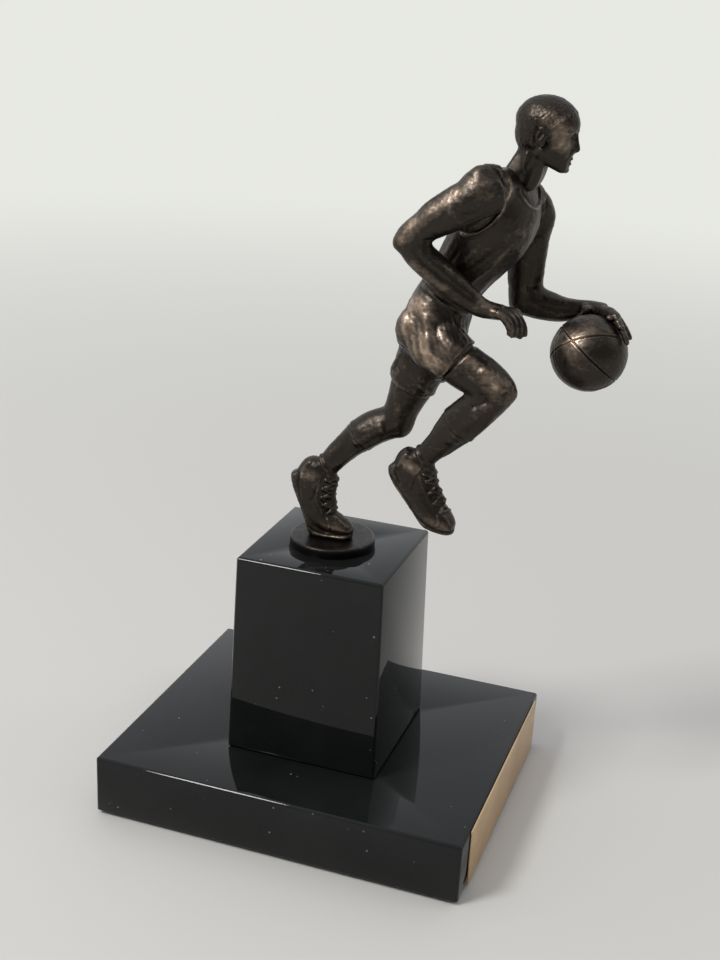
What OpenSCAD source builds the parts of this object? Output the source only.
// Basketball player trophy: a cast figure on a disc, bolted through a tapered
// stone column and a stone slab by one threaded rod.
// Frame: origin at the middle of the resting face, +X to the plate side (the
// way the player runs), +Y to the back, +Z up. Millimetres.

/* [Slab] */
// Length of the slab, along X
slab_length = 152.4; // [120:0.5:220]
// Width of the slab, along Y
slab_width = 127; // [100:0.5:180]
// Height of the slab
slab_height = 25; // [20:0.1:45]
// Flat left by easing the polished edges
stone_edge = 0.9; // [0.3:0.1:2]

/* [Column] */
// Side of the column at its foot
column_foot = 63.5; // [50:0.5:80]
// Side of the column at its top
column_top = 60.4; // [46:0.5:76]
// Height of the column
column_height = 84.2; // [50:0.2:160]
// Distance of the column behind the middle of the slab
column_y = -2.5; // [-8:0.5:8]
// Distance of the rod to the right of the middle of the slab
rod_x = -1.3; // [-4:0.1:4]
// Distance of the rod behind the middle of the slab
rod_y = -2.8; // [-8:0.1:4]

/* [Rod and nut] */
// Diameter of the threaded rod
rod_diameter = 6.35; // [5:0.05:8]
// Diameter of the hole through the stone
stone_hole = 8.5; // [8.2:0.1:11]
// Width across the flats of the nut
nut_flats = 11.1; // [10:0.1:13]
// Thickness of the nut
nut_height = 5.5; // [4:0.1:6.5]
// Diameter of the plain washer
washer_diameter = 18; // [15:0.5:22]
// Thickness of the plain washer
washer_height = 1.5; // [1:0.1:2.5]
// Diameter of the spring washer
spring_diameter = 11.6; // [10:0.1:14]
// Thickness of the spring washer
spring_height = 1.6; // [1:0.1:2.5]
// Gap where the spring washer is split
spring_split = 0.8; // [0.4:0.1:1.5]
// Depth of the pocket for the nut in the underside
pocket_depth = 13; // [12:0.5:18]
// Room round the plain washer in its pocket
pocket_room = 2; // [1:0.5:4]

/* [Base sheet and plate] */
// Thickness of the felt sheet
felt_height = 1; // [0.6:0.1:2]
// Distance of the felt from the edge of the slab
felt_inset = 2.5; // [1:0.5:6]
// Length of the plate, along Y
plate_length = 108; // [60:1:120]
// Height of the plate
plate_height = 24; // [14:0.5:25]
// Thickness of the plate
plate_thickness = 0.6; // [0.4:0.1:1.2]
// Thickness of the adhesive sheet behind the plate
adhesive_thickness = 0.2; // [0.1:0.05:0.5]
// Distance of the adhesive from the edge of the plate
adhesive_inset = 2; // [1:0.5:6]
// Distance of the plate behind the middle of the slab
plate_y = 2.5; // [-4:0.5:4]

/* [Disc] */
// Diameter of the disc under the figure
disc_diameter = 34; // [30:0.5:44]
// Height of the disc
disc_height = 3.8; // [3.4:0.1:8]
// Round edge at the top of the disc
disc_edge = 1; // [0.4:0.1:1.6]
// Diameter of the boss that holds the rod
boss_diameter = 12; // [10:0.5:16]
// Length of the boss below the disc
boss_length = 8; // [6:0.5:12]
// Room round the boss in the column
boss_room = 0.5; // [0.3:0.1:1]
// Diameter of the peg under the standing shoe
peg_diameter = 4; // [3:0.25:5]
// Length of the peg
peg_length = 2; // [1:0.25:2.5]

/* [Figure] */
// Gap at the soldered seams between castings
seam = 0.15; // [0.08:0.01:0.3]
// Length of the head, from brow to nape
head_length = 24; // [22:0.2:26]
// Tilt of the head, face downwards
head_tilt = 8; // [0:1:16]
// Turn of the head, face to the back
head_turn = 0; // [-12:1:12]
// Radius of the ball
ball_radius = 14.2; // [13:0.1:15]
// Width of the seams on the ball
ball_seam = 0.7; // [0.4:0.05:1]
// Thickness of the fingers
finger = 2.5; // [2.1:0.1:2.8]

/* [Hidden] */
$fa = 5;
$fs = 0.4;

// Clearance of the rod in its nut, washers and boss
rod_fit = 0.1;
// Metal left between the rod's hole and the peg's hole
boss_web = 1.5;
// Radii left at the end of the rod and at the bore of the nut
rod_chamfer = 0.8;
// Thickness of the soles of the shoes
sole_height = 2.2;
// Rings of the ball's seams: tilt and turn of each ring, and how far it lies
// off the middle as a share of the radius
ball_rings = [[42.2, 120.6, 0], [40.3, 18.3, 0], [68.3, -67.8, 0.234],
    [68.3, -67.8, -0.44]];
// Width and proud height of the rings at the tops of the socks
cuff_width = 1.2;
cuff_height = 0.4;

slab_top = felt_height + slab_height;
column_end = slab_top + column_height;
disc_top = column_end + disc_height;
pocket_top = felt_height + pocket_depth;
nut_top = pocket_top - washer_height - spring_height;
rod_end = disc_top - peg_length - boss_web - rod_fit;
rod_start = nut_top - nut_height - 1;
stone = [0.09, 0.09, 0.1];
bronze = [0.3, 0.22, 0.16];
steel = [0.62, 0.63, 0.65];

// ---- small helpers -------------------------------------------------------

function unit(v) = v / norm(v);
function clamp_index(i, list) = max(0, min(len(list) - 1, i));
function curve(a, b, c, d, t) = 0.5 * (2 * b + (c - a) * t
    + (2 * a - 5 * b + 4 * c - d) * t * t
    + (3 * b - a - 3 * c + d) * t * t * t);
// A smooth curve through the rows of a list, in `steps` steps from row to row
function smooth(list, steps) = [
    for (i = [0 : len(list) - 2]) for (j = [0 : steps - 1])
        curve(list[clamp_index(i - 1, list)], list[i], list[i + 1],
            list[clamp_index(i + 2, list)], j / steps),
    list[len(list) - 1]];
function place(row) = [row[0], row[1], row[2]];

// One ring of a loft. A row is [x, y, z, front, back, side, lean_x, lean_z]:
// a centre, the reach to the front, to the back and to each side, and the lean
// of the line from side to side away from Y.
function ring(rows, i, corners, grow) =
    let (low = place(rows[clamp_index(i - 1, rows)]),
        high = place(rows[clamp_index(i + 1, rows)]),
        along = unit(high - low),
        lean = [rows[i][6], 1, rows[i][7]],
        side = unit(lean - along * (lean * along)),
        front = cross(side, along),
        end = i == 0 ? -grow : i == len(rows) - 1 ? grow : 0)
    [for (k = [0 : corners - 1])
        let (a = 360 * k / corners, reach = cos(a) > 0 ? rows[i][3] : rows[i][4])
        place(rows[i]) + along * end + front * (reach + grow) * cos(a)
            + side * (rows[i][5] + grow) * sin(a)];

// A body through rings, closed flat at both ends
module loft(stations, corners = 16, steps = 2, grow = 0) {
    rows = smooth(stations, steps);
    last = len(rows) - 1;
    points = [for (i = [0 : last]) each ring(rows, i, corners, grow)];
    faces = [
        [for (k = [0 : corners - 1]) k],
        for (i = [0 : last - 1]) for (k = [0 : corners - 1])
            let (n = (k + 1) % corners, a = i * corners)
            [a + k, a + corners + k, a + corners + n, a + n],
        [for (k = [corners - 1 : -1 : 0]) last * corners + k]];
    polyhedron(points, faces, convexity = 6);
}

// A round bar through [x, y, z, radius] rows
module bar(rows, corners = 10) {
    for (i = [0 : len(rows) - 2]) hull() {
        translate(place(rows[i])) sphere(r = rows[i][3], $fn = corners);
        translate(place(rows[i + 1])) sphere(r = rows[i + 1][3], $fn = corners);
    }
}

// An oval lump
module lump(at, size, turn = [0, 0, 0], corners = 14) {
    hull() translate(at) rotate(turn) scale(size) sphere(r = 1, $fn = corners);
}

// A block on z = 0 that narrows to its top, with eased edges all round
module stone_block(foot, top, height, edge) {
    // one upright outline, drawn out to both sides
    module slice(low, high, ease, turn) {
        rotate([90, 0, turn]) linear_extrude(3 * max(foot), center = true)
            polygon([[-low + ease, 0], [low - ease, 0], [low, ease],
                [high, height - ease], [high - ease, height],
                [-high + ease, height], [-high, height - ease], [-low, ease]]);
    }
    corner = sqrt(0.5);
    low = ((foot[0] + foot[1]) / 2 - edge) * corner;
    high = ((top[0] + top[1]) / 2 - edge) * corner;
    intersection() {
        slice(foot[0] / 2, top[0] / 2, edge, 0);
        slice(foot[1] / 2, top[1] / 2, edge, 90);
        slice(low, high, edge / 2, 45);
        slice(low, high, edge / 2, -45);
    }
}

// ---- base ----------------------------------------------------------------

module felt_pad() {
    color([0.07, 0.07, 0.07]) linear_extrude(felt_height)
        square([slab_length - 2 * felt_inset, slab_width - 2 * felt_inset],
            center = true);
}

module slab() {
    color(stone) difference() {
        translate([0, 0, felt_height])
            stone_block([slab_length, slab_width], [slab_length, slab_width],
                slab_height, stone_edge);
        translate([rod_x, rod_y, felt_height - 1]) {
            cylinder(d = stone_hole, h = slab_height + 2);
            cylinder(d = washer_diameter + pocket_room, h = pocket_depth + 1);
        }
    }
}

module nameplate() {
    color([0.78, 0.64, 0.44])
        translate([slab_length / 2 + adhesive_thickness, plate_y,
            felt_height + slab_height / 2])
            rotate([90, 0, 90]) linear_extrude(plate_thickness)
                square([plate_length, plate_height], center = true);
}

module nameplate_adhesive() {
    color([0.85, 0.85, 0.82])
        translate([slab_length / 2, plate_y, felt_height + slab_height / 2])
            rotate([90, 0, 90]) linear_extrude(adhesive_thickness)
                square([plate_length - 2 * adhesive_inset,
                    plate_height - 2 * adhesive_inset], center = true);
}

module column() {
    color(stone) difference() {
        translate([0, column_y, slab_top])
            stone_block([column_foot, column_foot], [column_top, column_top],
                column_height, stone_edge);
        translate([rod_x, rod_y, 0]) {
            translate([0, 0, slab_top - 1])
                cylinder(d = stone_hole, h = column_height + 2);
            translate([0, 0, column_end - boss_length - boss_room])
                cylinder(d = boss_diameter + 2 * boss_room,
                    h = boss_length + boss_room + 1);
        }
    }
}

// ---- rod, nut and washers ------------------------------------------------

module on_rod(height) {
    translate([rod_x, rod_y, height]) children();
}

module ring_round_rod(diameter, height) {
    difference() {
        cylinder(d = diameter, h = height);
        translate([0, 0, -1])
            cylinder(d = rod_diameter + 2 * rod_fit, h = height + 2);
    }
}

module flat_washer() {
    color(steel) on_rod(pocket_top - washer_height)
        ring_round_rod(washer_diameter, washer_height);
}

// Split on one side, where the ends stand apart
module spring_washer() {
    color(steel) on_rod(nut_top) difference() {
        ring_round_rod(spring_diameter, spring_height);
        translate([0, 0, spring_height / 2]) rotate([25, 0, 0])
            translate([0, -spring_split / 2, -spring_height])
                cube([spring_diameter, spring_split, 2 * spring_height]);
    }
}

module hex_nut() {
    r = nut_flats / 2;
    color(steel) on_rod(nut_top - nut_height) intersection() {
        difference() {
            cylinder(d = nut_flats / cos(30), h = nut_height, $fn = 6);
            translate([0, 0, -1])
                cylinder(d = rod_diameter + 2 * rod_fit, h = nut_height + 2);
        }
        // corners turned off at both faces
        rotate_extrude() polygon([[0, 0], [r, 0], [r + 1.2, 0.7],
            [r + 1.2, nut_height - 0.7], [r, nut_height], [0, nut_height]]);
    }
}

module tie_rod() {
    r = rod_diameter / 2;
    color(steel) on_rod(0) rotate_extrude() polygon([[0, rod_start],
        [r - rod_chamfer, rod_start], [r, rod_start + rod_chamfer],
        [r, rod_end - rod_chamfer], [r - rod_chamfer, rod_end], [0, rod_end]]);
}

// ---- disc ----------------------------------------------------------------

module figure_disc() {
    r = disc_diameter / 2;
    color([0.13, 0.11, 0.1]) on_rod(column_end) difference() {
        union() {
            rotate_extrude() {
                square([r, disc_height - disc_edge]);
                square([r - disc_edge, disc_height]);
                translate([r - disc_edge, disc_height - disc_edge])
                    intersection() {
                        circle(r = disc_edge, $fn = 48);
                        square(disc_edge);
                    }
            }
            translate([0, 0, -boss_length])
                cylinder(d = boss_diameter, h = boss_length + 1);
        }
        translate([0, 0, -boss_length - 1])
            cylinder(d = rod_diameter + 2 * rod_fit,
                h = rod_end + rod_fit - column_end + boss_length + 1);
        translate([0, 0, disc_height - peg_length])
            cylinder(d = peg_diameter + 2 * seam, h = peg_length + 1);
    }
}

// ---- figure: places ------------------------------------------------------
// Places from here on are counted from the middle of the disc's top. The
// player runs towards +X, with his right side to the front (-Y).

module on_disc() {
    color(bronze) translate([rod_x, rod_y, disc_top]) children();
}

// Rows are [x, y, z, front, back, side, lean_x, lean_z], from foot to hip,
// hand to shoulder, seat to neck and heel to toe.
trunk = [
    [35.6, -2.7, 79.8, 6.0, 7.0, 9.0, -0.1, -0.2],
    [35.6, -2.7, 83.3, 11.0, 10.0, 14.0, -0.1, -0.2],
    [36.4, -2.7, 88.8, 12.6, 11.4, 16.4, -0.1, -0.2],
    [37.6, -2.7, 94.8, 12.4, 11.6, 16.0, -0.05, -0.2],
    [39.6, -2.7, 100.3, 11.4, 11.2, 14.4, 0.0, -0.2],
    [43.2, -2.4, 107.3, 10.2, 10.6, 12.8, 0.05, -0.2],
    [48.2, -1.9, 115.3, 11.0, 12.2, 13.2, 0.1, -0.25],
    [54.2, -1.4, 125.8, 13.8, 13.6, 15.6, 0.2, -0.28],
    [58.4, -0.9, 135.8, 13.4, 13.4, 17.2, 0.25, -0.3],
    [60.8, -0.9, 143.1, 8.6, 10.0, 15.2, 0.25, -0.3],
    [62.2, -0.4, 147.9, 4.4, 6.2, 9.4, 0.2, -0.2]];
right_hem = [
    [50.0, -13.4, 81.1, 9.9, 9.7, 9.2, 0, 0],
    [45.7, -12.8, 83.6, 10.3, 10.1, 9.6, 0, 0],
    [40.2, -11.4, 87.5, 10.8, 10.8, 9.8, 0, 0],
    [36.4, -9.8, 92.3, 9.6, 9.6, 8.6, 0, 0]];
left_hem = [
    [26.6, 5.8, 66.0, 9.8, 9.2, 9.3, 0, 0],
    [29.2, 4.8, 70.8, 10.2, 9.4, 9.5, 0, 0],
    [31.2, 5.2, 76.7, 11.4, 10.0, 10.0, 0, 0],
    [34.4, 4.2, 85.9, 11.0, 9.8, 10.0, 0, 0]];
right_thigh = [
    [60.0, -14.2, 67.3, 7.0, 6.0, 6.4, 0, 0],
    [65.4, -14.7, 72.6, 6.8, 6.2, 6.4, 0, 0],
    [62.0, -14.5, 75.7, 7.8, 7.0, 7.0, 0, 0],
    [56.5, -13.9, 78.3, 8.4, 8.0, 7.6, 0, 0],
    [49.0, -13.2, 81.9, 8.8, 8.6, 8.0, 0, 0],
    [42.5, -12.4, 85.7, 9.0, 8.8, 8.2, 0, 0]];
right_shin = [
    [37.6, -11.8, 41.9, 4.4, 4.6, 4.2, 0, 0],
    [40.5, -11.8, 44.9, 4.6, 4.6, 4.2, 0, 0],
    [44.6, -12.3, 49.3, 5.0, 5.4, 4.6, 0, 0],
    [51.1, -12.8, 57.1, 6.6, 7.6, 6.2, 0, 0],
    [57.8, -13.8, 64.7, 7.4, 7.6, 6.6, 0, 0],
    [64.5, -14.7, 71.7, 6.4, 6.2, 6.2, 0, 0],
    [66.5, -14.7, 73.9, 4.4, 4.4, 4.4, 0, 0]];
left_thigh = [
    [21.2, 5.2, 45.9, 5.0, 4.4, 4.8, 0, 0],
    [22.3, 5.2, 50.0, 7.0, 6.4, 6.6, 0, 0],
    [23.6, 6.2, 54.9, 6.8, 6.6, 6.8, 0, 0],
    [26.8, 6.2, 63.5, 8.2, 8.2, 7.8, 0, 0],
    [29.6, 5.9, 71.2, 8.6, 8.2, 8.1, 0, 0],
    [31.6, 5.2, 77.4, 8.4, 8.0, 8.0, 0, 0]];
left_shin = [
    [-6.4, -1.2, 25.9, 4.6, 4.4, 4.2, 0, 0],
    [-3.6, -0.4, 28.7, 4.8, 4.8, 4.4, 0, 0],
    [3.9, 2.2, 37.4, 5.4, 5.8, 5.0, 0, 0],
    [10.4, 3.7, 43.3, 6.6, 7.2, 6.4, 0, 0],
    [15.8, 4.7, 47.1, 6.8, 6.8, 6.6, 0, 0],
    [21.1, 5.2, 49.5, 6.4, 6.2, 6.4, 0, 0],
    [24.1, 5.2, 50.9, 4.4, 4.4, 4.4, 0, 0]];
right_upper_arm = [
    [28.0, -22.8, 123.3, 3.4, 3.6, 3.6, 0, 0],
    [30.9, -22.8, 125.9, 5.4, 5.4, 4.8, 0, 0],
    [37.1, -22.8, 131.1, 5.8, 6.0, 5.2, 0, 0],
    [42.4, -22.8, 135.0, 6.9, 6.8, 6.0, 0, 0],
    [49.3, -22.2, 139.7, 7.6, 7.0, 6.6, 0, 0],
    [55.0, -20.8, 144.1, 9.0, 7.0, 7.2, 0, 0],
    [58.6, -17.6, 145.7, 8.6, 5.6, 7.4, 0, 0]];
right_forearm = [
    [66.0, -18.8, 103.3, 2.8, 2.8, 3.6, 0, 0],
    [60.3, -19.3, 103.6, 3.3, 3.4, 3.2, 0, 0],
    [56.0, -19.8, 105.2, 4.0, 4.0, 3.6, 0, 0],
    [50.9, -20.8, 108.7, 4.8, 4.6, 4.4, 0, 0],
    [44.9, -21.3, 112.9, 5.6, 5.4, 5.2, 0, 0],
    [39.2, -21.8, 117.5, 5.6, 5.4, 5.4, 0, 0],
    [33.8, -22.4, 121.7, 5.4, 5.2, 5.2, 0, 0],
    [29.6, -22.8, 125.3, 4.2, 3.8, 4.2, 0, 0]];
left_upper_arm = [
    [64.2, 22.2, 95.5, 4.4, 4.4, 4.4, 0, 0],
    [64.4, 22.2, 99.9, 6.4, 6.4, 5.8, 0, 0],
    [64.1, 21.8, 106.9, 6.6, 6.4, 5.8, 0, 0],
    [64.0, 21.2, 114.5, 7.2, 7.0, 6.2, 0, 0],
    [64.4, 20.2, 123.9, 7.6, 7.4, 6.6, 0, 0],
    [65.4, 18.2, 132.7, 8.2, 8.2, 7.2, 0, 0],
    [65.0, 13.2, 137.9, 6.0, 7.0, 7.0, 0, 0]];
left_forearm = [
    [95.0, 17.2, 99.9, 2.9, 3.0, 4.4, 0, 0],
    [90.1, 19.2, 99.6, 3.2, 3.2, 3.4, 0, 0],
    [84.4, 20.2, 98.5, 4.0, 4.0, 3.8, 0, 0],
    [78.6, 21.2, 97.7, 4.9, 5.0, 4.8, 0, 0],
    [72.6, 22.2, 98.1, 5.8, 5.8, 5.6, 0, 0],
    [66.6, 22.2, 99.1, 6.0, 6.0, 5.8, 0, 0],
    [63.2, 22.2, 99.9, 4.6, 4.6, 4.6, 0, 0]];
// Wrist, knuckle, middle joint and tip of the first finger, the step from each
// finger to the next, and how much thicker each joint is than the tip
right_finger = [[61.0, -20.7, 103.4], [66.6, -22.4, 102.9], [69.0, -22.2, 99.5],
    [70.2, -21.8, 96.5]];
right_finger_step = [[0, 0.9, 0], [1.1, 2.3, 0], [1.0, 2.2, 0], [1.0, 2.0, 0.2]];
right_finger_grow = [1.15, 0.4, 0.1, 0];
right_thumb = [[61.7, -16.1, 103.3, 2.1], [65.1, -13.9, 100.5, 1.7],
    [67.0, -12.6, 96.6, 1.25]];
neck = [
    [60.8, -1.0, 144.7, 5.4, 5.4, 6.0, 0.2, -0.2],
    [63.2, -0.4, 148.9, 5.2, 5.6, 5.6, 0.1, -0.1],
    [65.6, 0.2, 152.9, 5.0, 5.6, 5.2, 0, 0],
    [67.6, 0.8, 157.3, 5.0, 6.0, 5.4, 0, 0]];
head_middle = [72.0, 1.2, 163.7];
right_shoe = [
    [26.4, -11.2, 38.4, 1.6, 3.0, 3.0, 0, 0],
    [28.2, -11.2, 36.2, 3.2, 6.0, 4.4, 0, 0],
    [31.2, -11.2, 32.2, 3.8, 8.4, 4.8, 0, 0],
    [35.2, -11.1, 27.6, 3.8, 9.2, 5.0, 0, 0],
    [39.2, -11.0, 23.2, 3.8, 8.2, 5.4, 0, 0],
    [43.2, -11.0, 19.8, 3.6, 7.2, 5.6, 0, 0],
    [47.8, -11.1, 18.0, 2.8, 6.0, 5.3, 0, 0],
    [51.0, -11.2, 17.4, 1.8, 4.0, 4.2, 0, 0],
    [52.6, -11.2, 17.2, 0.8, 1.8, 2.2, 0, 0]];
right_ankle = [
    [37.8, -11.1, 30.0, 5.0, 7.6, 4.6, 0, 0],
    [36.8, -11.2, 34.2, 6.2, 8.6, 5.0, 0, 0],
    [36.0, -11.4, 38.2, 7.2, 8.8, 5.3, 0, 0],
    [35.6, -11.5, 40.8, 7.6, 8.0, 5.5, 0, 0],
    [35.9, -11.6, 42.6, 6.8, 6.4, 5.2, 0, 0],
    [36.4, -11.6, 43.5, 5.4, 4.8, 4.4, 0, 0]];
left_shoe = [
    [-16.8, -0.8, 24.8, 1.6, 2.6, 2.8, 0, 0],
    [-15.4, -0.8, 21.8, 2.6, 5.6, 4.2, 0, 0],
    [-12.6, -0.8, 16.8, 3.6, 8.4, 4.7, 0, 0],
    [-9.6, -0.9, 11.6, 4.0, 8.6, 5.0, 0, 0],
    [-5.8, -1.0, 7.4, 4.6, 6.8, 5.5, 0, 0],
    [-0.6, -1.0, 5.0, 3.2, 5.8, 5.4, 0, 0],
    [4.4, -1.0, 4.0, 2.2, 4.4, 4.8, 0, 0],
    [7.2, -1.0, 3.4, 1.4, 2.6, 3.6, 0, 0],
    [8.6, -1.0, 3.0, 0.6, 1.2, 2.0, 0, 0]];
left_ankle = [
    [-5.0, -1.0, 10.4, 4.2, 6.6, 4.8, 0, 0],
    [-6.4, -0.9, 15.0, 6.0, 7.6, 5.0, 0, 0],
    [-7.2, -0.8, 20.0, 7.4, 8.8, 5.2, 0, 0],
    [-7.2, -0.7, 23.8, 8.2, 9.0, 5.4, 0, 0],
    [-6.7, -0.6, 26.8, 8.0, 7.8, 5.4, 0, 0],
    [-5.9, -0.5, 28.9, 6.8, 6.2, 5.0, 0, 0],
    [-5.4, -0.4, 29.8, 5.2, 4.4, 4.2, 0, 0]];

// Ovals hulled one to the next: rows are [place, turn, half length, half width]
module sole_plate(rows) {
    module oval(row) {
        translate(row[0]) rotate([0, row[1], 0]) scale([row[2], row[3], 1])
            cylinder(r = 1, h = sole_height, $fn = 18);
    }
    for (i = [0 : len(rows) - 2]) hull() {
        oval(rows[i]);
        oval(rows[i + 1]);
    }
}

// ---- figure: castings ----------------------------------------------------

// Arms where they meet the body, and as they are cut out of it
// A raised ring round the shin at `at`, along the way `along`
module sock_cuff(at, along, size) {
    loft([for (step = [-0.5, 0.5]) [each at + step * cuff_width * along,
        each size, 0, 0]], steps = 1, grow = cuff_height);
}

module right_shoulder(grow = 0) {
    loft(right_upper_arm, grow = grow);
    lump([54.8, -21.0, 144.1], [8.4, 7.2, 8.2] + grow * [1, 1, 1]);
}

module left_shoulder(grow = 0) {
    loft(left_upper_arm, grow = grow);
    lump([65.0, 18.6, 132.3], [8.2, 7.2, 8.6] + grow * [1, 1, 1]);
}

module torso() {
    on_disc() difference() {
        union() {
            loft(trunk, corners = 24);
            // seat and legs of the shorts
            lump([32.4, -10.0, 91.7], [8.0, 8.2, 10.0], [0, 25, 0]);
            lump([31.2, 4.2, 87.7], [8.0, 8.2, 10.0], [0, 15, 0]);
            loft(right_hem, corners = 20);
            loft(left_hem, corners = 20);
            lump([37.0, -2.8, 83.3], [10, 8, 8]);
            // chest, shoulder blades and the tops of the shoulders
            lump([60.0, -7.4, 130.6], [7.0, 9.0, 8.4], [0, -30, 0], 18);
            lump([61.4, 5.4, 127.9], [7.0, 8.6, 8.2], [0, -30, 0], 18);
            lump([51.7, -8.8, 134.9], [8.0, 7.5, 9.5], [0, 20, 0]);
            lump([54.6, 7.2, 130.9], [8.0, 7.5, 9.5], [0, 20, 0]);
            bar([[61.0, -0.6, 145.7, 5.6], [57.6, -14.4, 145.0, 6.8]], 16);
            bar([[61.4, 0.2, 145.1, 5.4], [64.4, 12.4, 138.4, 6.8]], 16);
        }
        loft(right_thigh, grow = seam);
        loft(left_thigh, grow = seam);
        right_shoulder(seam);
        left_shoulder(seam);
        loft(neck, grow = seam);
    }
}

module right_leg() {
    on_disc() {
        loft(right_thigh);
        loft(right_shin);
        loft(right_shoe);
        loft(right_ankle);
        sole_plate([[[28.8, -11.2, 31.0], 51, 3.6, 4.0],
            [[39.4, -11.0, 18.6], 51, 5.2, 5.5],
            [[47.2, -11.2, 15.0], 14, 5.2, 4.8]]);
        sock_cuff([52.0, -12.9, 58.2], [0.669, -0.067, 0.741], [6.8, 7.6, 6.3]);
        // kneecap, calf and tongue of the shoe
        lump([66.2, -14.8, 73.7], [6.2, 5.8, 6.6], [4, 7, 5]);
        lump([52.0, -13.2, 62.3], [5.0, 6.4, 9.0], [0, 40, 0]);
        bar([[41.4, -11.5, 38.4, 2.6], [42.6, -11.3, 32.6, 2.6],
            [45.8, -11.1, 26.6, 2.6]]);
    }
}

module left_leg() {
    on_disc() {
        loft(left_thigh);
        loft(left_shin);
        loft(left_shoe);
        loft(left_ankle);
        sole_plate([[[-15.6, -0.8, 17.4], 65, 3.4, 3.9],
            [[-9.2, -1.0, 3.8], 65, 3.8, 5.2],
            [[-4.6, -1.0, 0], 0, 4.8, 5.4],
            [[3.6, -1.0, 0], 0, 5.2, 4.8]]);
        // peg into the disc
        translate([0, 0, seam - peg_length])
            cylinder(d = peg_diameter, h = peg_length + 1);
        sock_cuff([8.5, 3.1, 41.7], [0.762, 0.16, 0.625], [6.2, 6.8, 5.9]);
        // kneecap, calf and tongue of the shoe
        lump([23.0, 5.2, 48.9], [6.0, 6.0, 6.0]);
        lump([9.0, 3.4, 44.5], [8.0, 6.4, 4.6], [0, -40, 0]);
        bar([[-0.8, -0.6, 23.6, 2.6], [-1.8, -0.9, 17.6, 2.6],
            [-0.6, -1.0, 11.6, 2.4]]);
    }
}

module head() {
    on_disc() {
        loft(neck);
        translate(head_middle) rotate([0, head_tilt, head_turn])
            scale(head_length / 24) head_form();
    }
}

// Head about its middle, face towards +X, for a length of 24 from brow to nape
module head_form() {
    lump([-1.2, 0, 3.0], [11.6, 9.2, 9.2], corners = 24);
    lump([-3.8, 0, -1.5], [8.4, 8.0, 8.0]);
    // brow, cheeks, chin and jaw
    hull() for (side = [-1, 1], spot = [[6.6, 4.2, 1.6, 3.2],
        [5.2, 4.9, -3.4, 3.0], [7.4, 2.0, -10.6, 2.4], [-0.5, 5.0, -7.4, 2.8]])
        translate([spot[0], side * spot[1], spot[2]])
            sphere(r = spot[3], $fn = 12);
    // nose, lips and ears
    hull() {
        translate([9.6, 0, 1.2]) sphere(r = 0.9, $fn = 10);
        translate([11.8, 0, -4.0]) sphere(r = 1.1, $fn = 10);
        for (y = [-1.5, 1.5]) translate([9.8, y, -4.6]) sphere(r = 0.9, $fn = 10);
    }
    lump([9.2, 0, -7.4], [1.2, 2.6, 0.7], corners = 10);
    lump([9.0, 0, -8.8], [1.2, 2.2, 0.7], corners = 10);
    for (side = [-1, 1])
        lump([-0.6, side * 9.1, -1.8], [2.3, 0.9, 3.4], [0, -12, -side * 14]);
}

module right_arm() {
    on_disc() {
        right_shoulder();
        loft(right_forearm);
        lump([31.1, -22.6, 125.6], [5.5, 5.1, 5.3], [5, 12, 7]);
        lump([36.2, -22.7, 123.6], [3.5, 4.3, 3.3], [4, -38, 6], 12);
        // back of the hand, four fingers and the thumb
        for (i = [0 : 3]) bar([for (joint = [0 : 3]) [
            each right_finger[joint] + i * right_finger_step[joint],
            finger / 2 + right_finger_grow[joint] + 0.05 * i]], 8);
        bar(right_thumb, 8);
    }
}

// The palm rests on the ball at this place
palm = [94.0, 13.2, 99.3];
ball_rise = 72;
ball_middle = palm - (ball_radius + seam) * [cos(ball_rise) * 0.3,
    cos(ball_rise), sin(ball_rise)];
// A place on the ball: turned from +X, raised from the level, out by `lift`
function on_ball(turn, rise, lift) = ball_middle + (ball_radius + lift)
    * [cos(rise) * cos(turn), cos(rise) * sin(turn), sin(rise)];

module left_arm() {
    reach = finger / 2 + seam;
    on_disc() {
        left_shoulder();
        loft(left_forearm);
        lump([64.3, 22.1, 99.4], [6.3, 6.1, 6.2], [3, 14, 8]);
        // palm, four fingers and the thumb, spread over the ball
        hull() for (knuckle = [[91.0, 18.4, 99.7, 2.4],
            [each on_ball(84, 63, 2.0 + seam), 2.0],
            [each on_ball(45, 64, 2.1 + seam), 2.1],
            [each on_ball(8, 60, 2.0 + seam), 2.0]])
            translate(place(knuckle)) sphere(r = knuckle[3], $fn = 11);
        for (i = [0 : 3]) let (turn = 74 - 26 * i) bar([
            [each on_ball(turn - 3, 62 - 3 * i, 1.7 + seam), 1.9 - 0.07 * i],
            [each on_ball(turn - 8, 46 - 4 * i, reach), finger / 2],
            [each on_ball(turn - 10, 30 - 2 * i, reach), finger / 2 - 0.1]], 8);
        bar([[each on_ball(121, 67, 1.7 + seam), 1.9],
            [each on_ball(128, 48, reach), finger / 2]], 8);
    }
}

// Two seams run round the ball and cross at its poles, and one curves on each side
module ball() {
    on_disc() translate(ball_middle) difference() {
        sphere(r = ball_radius);
        for (ring = ball_rings) let (off = ball_radius * ring[2],
            reach = sqrt(pow(ball_radius + ball_seam / 8, 2) - pow(off, 2)))
            rotate([0, ring[0], ring[1]]) translate([0, 0, off])
                rotate_extrude()
                    translate([reach, 0]) circle(d = ball_seam, $fn = 24);
    }
}

felt_pad();
slab();
nameplate();
nameplate_adhesive();
column();
hex_nut();
spring_washer();
flat_washer();
tie_rod();
figure_disc();
left_leg();
right_leg();
torso();
head();
right_arm();
left_arm();
ball();
